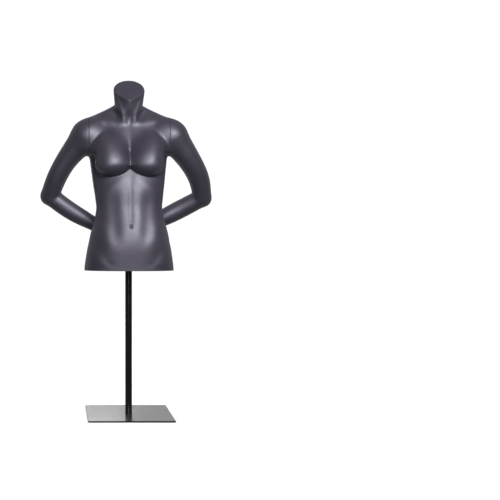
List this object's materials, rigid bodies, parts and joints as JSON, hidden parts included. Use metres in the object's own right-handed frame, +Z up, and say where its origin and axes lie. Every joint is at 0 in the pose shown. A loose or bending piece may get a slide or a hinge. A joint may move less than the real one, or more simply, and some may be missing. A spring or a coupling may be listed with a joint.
{
  "type": "display mannequin torso",
  "caption": "Headless female sports display torso with hands behind its back, detachable arms and hands, turning on a pole over a flat square plate.",
  "frame": {"origin": "on the pole's axis, on the floor under the plate", "axes": "+Z up along the pole, -Y the way the figure faces, +X to the figure's left"},
  "size_m": [0.645, 0.3184, 1.2144],
  "materials": {
    "figure": "satin slate grey paint on fibreglass, faint purple tint",
    "plate": "gloss black, mirror-smooth",
    "pole": "gloss black",
    "steel": "zinc plated, slightly dull",
    "screws": "zinc plated fasteners",
    "magnet": "bright nickel plate",
    "black_plastic": "moulded black plastic",
    "nylon": "natural nylon",
    "board": "painted fibreboard",
    "felt": "black self-adhesive felt"
  },
  "bodies": {
    "base": {"base_felt": "felt", "base_plate": "plate", "base_bolt": "steel", "pole": "pole", "pole_foot_nut": "steel", "pole_top_plug": "black_plastic"},
    "bush": {"swivel_bush": "nylon"},
    "torso": {"torso_shell": "figure", "torso_bottom_panel": "board", "pole_socket": "steel", "socket_screws": "screws", "socket_nuts": "screws", "left_shoulder_plate": "steel", "right_shoulder_plate": "steel", "left_shoulder_screws": "screws", "right_shoulder_screws": "screws"},
    "left_arm": {"left_arm_shell": "figure", "left_shoulder_magnet": "magnet", "left_shoulder_dowels": "steel", "left_wrist_plate": "steel"},
    "right_arm": {"right_arm_shell": "figure", "right_shoulder_magnet": "magnet", "right_shoulder_dowels": "steel", "right_wrist_plate": "steel"},
    "left_hand": {"left_hand": "figure", "left_wrist_magnet": "magnet", "left_wrist_pins": "steel"},
    "right_hand": {"right_hand": "figure", "right_wrist_magnet": "magnet", "right_wrist_pins": "steel"}
  },
  "joints": [
    {"name": "torso_lift", "type": "slide", "parent": "base", "child": "bush", "axis": [0, 0, 1], "range_m": [0, 0.14]},
    {"name": "torso_swivel", "type": "hinge", "parent": "bush", "child": "torso", "pos_m": [0, 0, 0.6], "axis": [0, 0, 1], "continuous": true},
    {"name": "left_arm_pull", "type": "slide", "parent": "torso", "child": "left_arm", "axis": [1, 0, 0], "range_m": [0, 0.15]},
    {"name": "right_arm_pull", "type": "slide", "parent": "torso", "child": "right_arm", "axis": [-1, 0, 0], "range_m": [0, 0.15]},
    {"name": "left_hand_pull", "type": "slide", "parent": "left_arm", "child": "left_hand", "axis": [-0.8884, 0.0215, -0.4585], "range_m": [0, 0.04]},
    {"name": "right_hand_pull", "type": "slide", "parent": "right_arm", "child": "right_hand", "axis": [0.8682, -0.0138, -0.4961], "range_m": [0, 0.04]}
  ]
}
